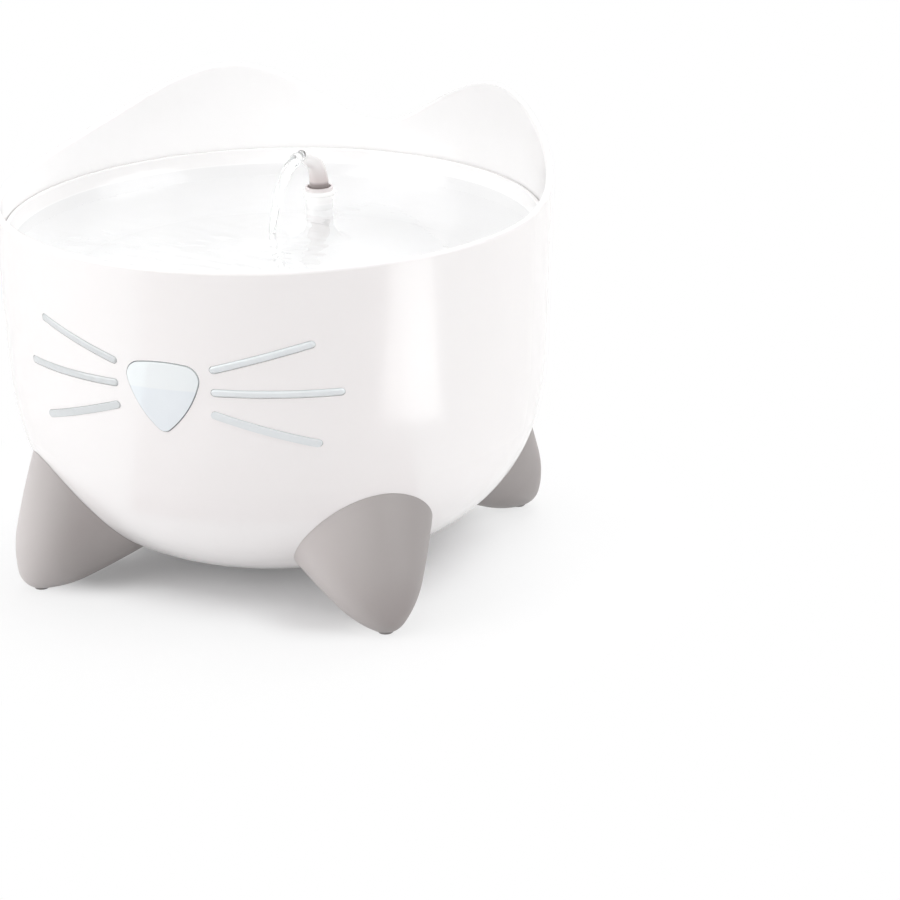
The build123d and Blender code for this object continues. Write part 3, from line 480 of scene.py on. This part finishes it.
# %% Foam, carbon and board
foam_white = Finish("open_foam")
foam_cells = foam_white.add("ShaderNodeTexVoronoi", {"feature": "DISTANCE_TO_EDGE"},
                            {"Vector": foam_white.point(), "Scale": 1200.0})
foam_pores = foam_white.step(foam_cells, 0.02, 0.14)
foam_tone = foam_white.between(foam_pores, (0.82, 0.84, 0.86), (0.34, 0.36, 0.38))
foam_white.set(base_color=foam_tone, roughness=0.9,
               normal=foam_white.bump(1.0 - foam_pores, 0.3 * MM))

carbon_black = Finish("carbon_grain")
carbon_grains = carbon_black.add("ShaderNodeTexVoronoi",
                                 inputs={"Vector": carbon_black.point(), "Scale": 700.0})
carbon_tone = carbon_black.between(carbon_grains, (0.05, 0.05, 0.05), (0.012, 0.012, 0.012))
carbon_black.set(base_color=carbon_tone, roughness=carbon_grains * 0.3 + 0.45,
                 normal=carbon_black.bump(carbon_grains, 0.5 * MM))

board_green = Finish("solder_mask")
board_tracks = board_green.add("ShaderNodeTexBrick", inputs={
    "Vector": board_green.point(), "Scale": 260.0, "Mortar Size": 0.06,
    "Color1": (0, 0, 0, 1), "Color2": (0.2, 0.2, 0.2, 1), "Mortar": white})
board_tone = board_green.between(board_tracks, (0.012, 0.12, 0.045), (0.03, 0.20, 0.08))
board_green.set(base_color=board_tone, roughness=0.32,
                normal=board_green.bump(board_tracks, 0.05 * MM))
print("rubbers, metals and fillings made")

# %% [markdown]
# ## Dressing the CAD nodes
#
# A node whose shape is already right keeps its mesh and only gets its finish. The mesh's own
# material slots are filled, so nothing of it changes.

# %% Give the nodes their finishes
finishes = {
    shell_gloss: ["bowl_shell"],
    dish_gloss: ["drinking_dish"],
    collar_satin: ["nozzle_ring"],
    foot_matt: [name for name in nodes if name.startswith("foot_") and "pad" not in name],
    spout_satin: ["spout_tube"],
    inner_satin: ["filter_housing", "housing_lid", "riser_tube"],
    cassette_satin: ["cassette_frame", "cassette_cap"],
    pump_satin: ["pump_body", "pump_rear_cover", "pump_cover"],
    wheel_satin: ["impeller"],
    socket_satin: ["power_socket"],
    seal_rubber: ["spout_seal", "socket_seal", "cover_seal"],
    gasket_grey: ["nose_gasket"],
    pad_grey: [name for name in nodes if name.startswith("foot_pad")],
    soft_grey: ["riser_sleeve", "lead_gland", *(name for name in nodes if name.startswith("suction"))],
    lead_rubber: ["pump_lead", "socket_boot"],
    nut_metal: ["socket_nut"],
    core_metal: ["stator_core"],
    coil_metal: ["stator_coil"],
    shaft_white: ["impeller_shaft", "front_bush", "rear_bush"],
    magnet_dark: ["rotor_magnet"],
    foam_white: ["filter_foam"],
    carbon_black: ["carbon_pad"],
    board_green: ["driver_board"],
}
dressed = set()
for finish, names in finishes.items():
    for name in names:
        materials = nodes[name].data.materials
        materials.clear()
        materials.append(finish.material)
        dressed.add(name)
print("left for pieces of their own:", sorted(set(nodes) - dressed))


# %% [markdown]
# ## Clear trim: the nose window and the whiskers
#
# On the real object these are clear mouldings with soft edges, and light gathers in those edges.
# The CAD solids have sharp ones. A copy of each, with its loose triangles merged first, gets a
# Bevel modifier, which rounds only the edges where two faces meet at a clear angle. The window
# is painted bluer below the water line behind it, as painted light of the water seen through it.

# %% Soften a copy of a node
merge_gap, flat_angle, sharp_angle, edge_steps = 0.002 * MM, radians(1.0), radians(40), 6


def softened(node, width, finish, body):
    """Puts a copy of a CAD node, with edges rounded to this width in millimetres, in its place."""
    mesh = bmesh.new()
    mesh.from_mesh(nodes[node].data)
    bmesh.ops.remove_doubles(mesh, verts=mesh.verts, dist=merge_gap)
    bmesh.ops.dissolve_limit(mesh, angle_limit=flat_angle, verts=mesh.verts, edges=mesh.edges)
    for face in mesh.faces:
        face.smooth = True
    piece = placed(node + "_soft", mesh, finish)
    edge = piece.modifiers.new("edge", "BEVEL")
    edge.width = width * MM
    edge.segments = edge_steps
    edge.limit_method = "ANGLE"
    edge.angle_limit = sharp_angle
    edge.harden_normals = True
    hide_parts(node)
    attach(piece, body)


# %% Window
line_low, line_high = 0.1094, 0.1102
lens_clear = Finish("clear_blue_window")
# Painted light: below the water line the window is painted bluer, for the water seen through it.
above_painted_water = lens_clear.step(lens_clear.axis("Z"), line_low, line_high)
lens_tone = lens_clear.noise(0.03, detail=1.0)
lens_dry = lens_clear.between(lens_tone, (0.90, 0.95, 0.965), (0.94, 0.98, 0.99))
lens_painted_water = lens_clear.between(lens_tone, (0.83, 0.895, 0.94), (0.905, 0.95, 0.98))
lens_clear.set(base_color=lens_clear.between(above_painted_water, lens_painted_water, lens_dry), roughness=0.06, ior=1.49,
               transmission_weight=0.06, coat_weight=1.0, coat_roughness=0.02)
softened("nose_lens", 1.4, lens_clear, "base")

# %% Whiskers
nose_half = 0.02
bar_clear = Finish("clear_bar")
bar_streak = bar_clear.noise(0.004)
# Painted shade and light: the bars left of the nose are painted darker, those on the right paler.
left_bars_painted_shade = bar_clear.between(bar_streak, (0.68, 0.705, 0.715), (0.76, 0.785, 0.80))
right_bars_painted_light = bar_clear.between(bar_streak, (0.85, 0.90, 0.92), (0.92, 0.955, 0.97))
bar_side = bar_clear.step(bar_clear.axis("X"), -nose_half, nose_half)
bar_clear.set(base_color=bar_clear.between(bar_side, left_bars_painted_shade, right_bars_painted_light), roughness=0.08, ior=1.49,
              transmission_weight=0.12, coat_weight=1.0, coat_roughness=0.03)
for name in sorted(nodes):
    if name.startswith("whisker_"):
        softened(name, 1.2, bar_clear, "base")
print("clear trim made")

# %% [markdown]
# ## Water in the dish
#
# Seen from a low angle, still water is mostly a mirror: it shows the rim and the white room. Looked
# into steeply it is clear. A Layer Weight node gives such a split between a glossy and a
# transparent shader, and the light still reaches the dish below. The sheet is a fine grid, cut to
# the dish and round the column, whose points are pushed up and down. Rings run out from the middle,
# where the stream lands, and noise breaks them up, most of all in front, because a real stream
# shakes. The reservoir's water below is still, so a flat disc does.

# %% Water finish
sheet_water = Finish("water_sheet")
skin = sheet_water.bump(sheet_water.noise(0.006, detail=3.0), 0.05 * MM)
sheet_water.show(sheet_water.add("ShaderNodeMixShader", inputs={
    0: sheet_water.add("ShaderNodeLayerWeight", inputs={"Blend": 0.16, "Normal": skin}, output=1),
    1: sheet_water.add("ShaderNodeBsdfTransparent", inputs={0: (0.992, 0.996, 1.0, 1.0)}),
    2: sheet_water.add("ShaderNodeBsdfGlossy", inputs={"Roughness": 0.0, "Normal": skin})}))

# %% Water sheet
water_z, water_r, grid_half, grid_steps = 143.0, 113.8, 115, 230
column_y, column_r = 49.0, 4.45
ring_height, ring_turn, ring_fade = 0.10, 0.62, 26.0
shake, shake_scale = 2.4, 0.05
drift_start, drift_x, drift_y, drift_turn = 11.0, 0.045, 0.13, 0.03
fine_share, fine_scale = 0.4, 2.3
front_x, front_y, front_wide, front_deep = -22.0, -42.0, 62.0, 34.0
front_height, near_height, far_height, near_reach = 0.30, 0.12, 0.02, 46.0


def ripple_height(x, y):
    """Height of the water above its level, all in millimetres."""
    away = hypot(x, y)
    shaken = shake * noise.noise(Vector((x, y, 3.0)) * shake_scale)
    rings = ring_height * sin(away * ring_turn + shaken) * exp(-away / ring_fade)
    drift = Vector((x * drift_x + drift_start, y * drift_y + x * drift_turn, 0.0))
    broken = noise.noise(drift) + fine_share * noise.noise(drift * fine_scale)
    front = exp(-((x - front_x) / front_wide) ** 2 - ((y - front_y) / front_deep) ** 2)
    near = exp(-(away / near_reach) ** 2)
    return rings + broken * (front_height * front + near_height * near + far_height)


mesh = bmesh.new()
bmesh.ops.create_grid(mesh, x_segments=grid_steps, y_segments=grid_steps, size=grid_half * MM)
stray = [vert for vert in mesh.verts
         if vert.co.length > water_r * MM
         or hypot(vert.co.x, vert.co.y - column_y * MM) < column_r * MM]
bmesh.ops.delete(mesh, geom=stray, context="VERTS")
for vert in mesh.verts:
    vert.co.z = (water_z + ripple_height(vert.co.x / MM, vert.co.y / MM)) * MM
for face in mesh.faces:
    face.smooth = True
water = placed("dish_water", mesh, sheet_water)
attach(water, "dish")
print("water sheet faces", len(water.data.polygons))

# %% Water in the reservoir
reservoir_z, reservoir_r = 110.0, 113.3
mesh = bmesh.new()
bmesh.ops.create_circle(mesh, cap_ends=True, segments=96, radius=reservoir_r * MM)
bmesh.ops.translate(mesh, verts=mesh.verts, vec=(0.0, 0.0, reservoir_z * MM))
store = placed("reservoir_water", mesh, sheet_water)
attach(store, "base")

# %% [markdown]
# ## The stream
#
# Water leaves the narrow mouth fast and nearly level, then curls over and falls, so a quarter of an
# ellipse follows it well. It swells just past the mouth and draws in as it speeds up. A circle is
# swept along that curve by extruding its edge step by step, and each step is turned, placed and
# narrowed. Slight waves down its length catch the light as a real stream does.

# %% The stream's path
mouth_y, mouth_z, mouth_r = 30.5, 169.0, 2.0
curl_reach, curl_drop, curl_end = 33.5, 31.4, radians(80.0)


def stream_place(share):
    """The stream's middle and direction, from 0 at the mouth to 1 in the water."""
    turn = curl_end * share
    middle = Vector((0.0, mouth_y - curl_reach * sin(turn), mouth_z - curl_drop * (1.0 - cos(turn))))
    heading = Vector((0.0, -curl_reach * cos(turn), -curl_drop * sin(turn))).normalized()
    return middle, heading


# %% One ring of the stream
swell_share, swell_wide, swell_deep = 0.14, 0.8, 0.6
draw_wide, draw_deep = 1.3, 1.5
wave_size, wave_round, wave_along = 0.22, 1.1, 9.0


def lay_ring(verts, spokes, share):
    """Lays points across the stream. A spoke is a point's place on a circle of radius 1."""
    middle, heading = stream_place(share)
    side = Vector((1.0, 0.0, 0.0))
    over = side.cross(heading)
    swell = min(share / swell_share, 1.0)
    wide = mouth_r + swell_wide * swell - draw_wide * share
    deep = mouth_r + swell_deep * swell - draw_deep * share
    for vert, spoke in zip(verts, spokes):
        place = Vector((spoke.x * wave_round, spoke.y * wave_round, share * wave_along))
        wave = 1.0 + wave_size * noise.noise(place)
        vert.co = (middle + side * (spoke.x * wide * wave) + over * (spoke.y * deep * wave)) * MM


# %% Stream
steps = 44
stream_water = Finish("water_stream")
stream_water.set(base_color=(0.97, 0.98, 0.98), roughness=0.0, ior=1.33, transmission_weight=0.78,
                 normal=stream_water.bump(stream_water.noise(0.004), 0.25 * MM))

mesh = bmesh.new()
bmesh.ops.create_circle(mesh, cap_ends=False, segments=24, radius=1.0)
loop = list(mesh.edges)
ring = list(mesh.verts)
spokes = [vert.co.copy() for vert in ring]
lay_ring(ring, spokes, 0.0)
bmesh.ops.contextual_create(mesh, geom=loop)
for index in range(1, steps + 1):
    grown = bmesh.ops.extrude_edge_only(mesh, edges=loop)["geom"]
    loop = [part for part in grown if isinstance(part, bmesh.types.BMEdge)]
    fresh = [part for part in grown if isinstance(part, bmesh.types.BMVert)]
    # A fresh point still lies on the one that it was extruded from, and takes over its spoke.
    known = {vert.co.copy().freeze(): spoke for vert, spoke in zip(ring, spokes)}
    spokes = [known[vert.co.copy().freeze()] for vert in fresh]
    ring = fresh
    lay_ring(ring, spokes, index / steps)
bmesh.ops.contextual_create(mesh, geom=loop)
bmesh.ops.recalc_face_normals(mesh, faces=mesh.faces)
for face in mesh.faces:
    face.smooth = True
stream = placed("stream", mesh, stream_water)
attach(stream, "spout")
print("stream faces", len(stream.data.polygons))

# %% [markdown]
# ## Finish
#
# The last cell sets the view transform to Standard.

# %% Set the view transform
bpy.context.scene.view_settings.view_transform = "Standard"
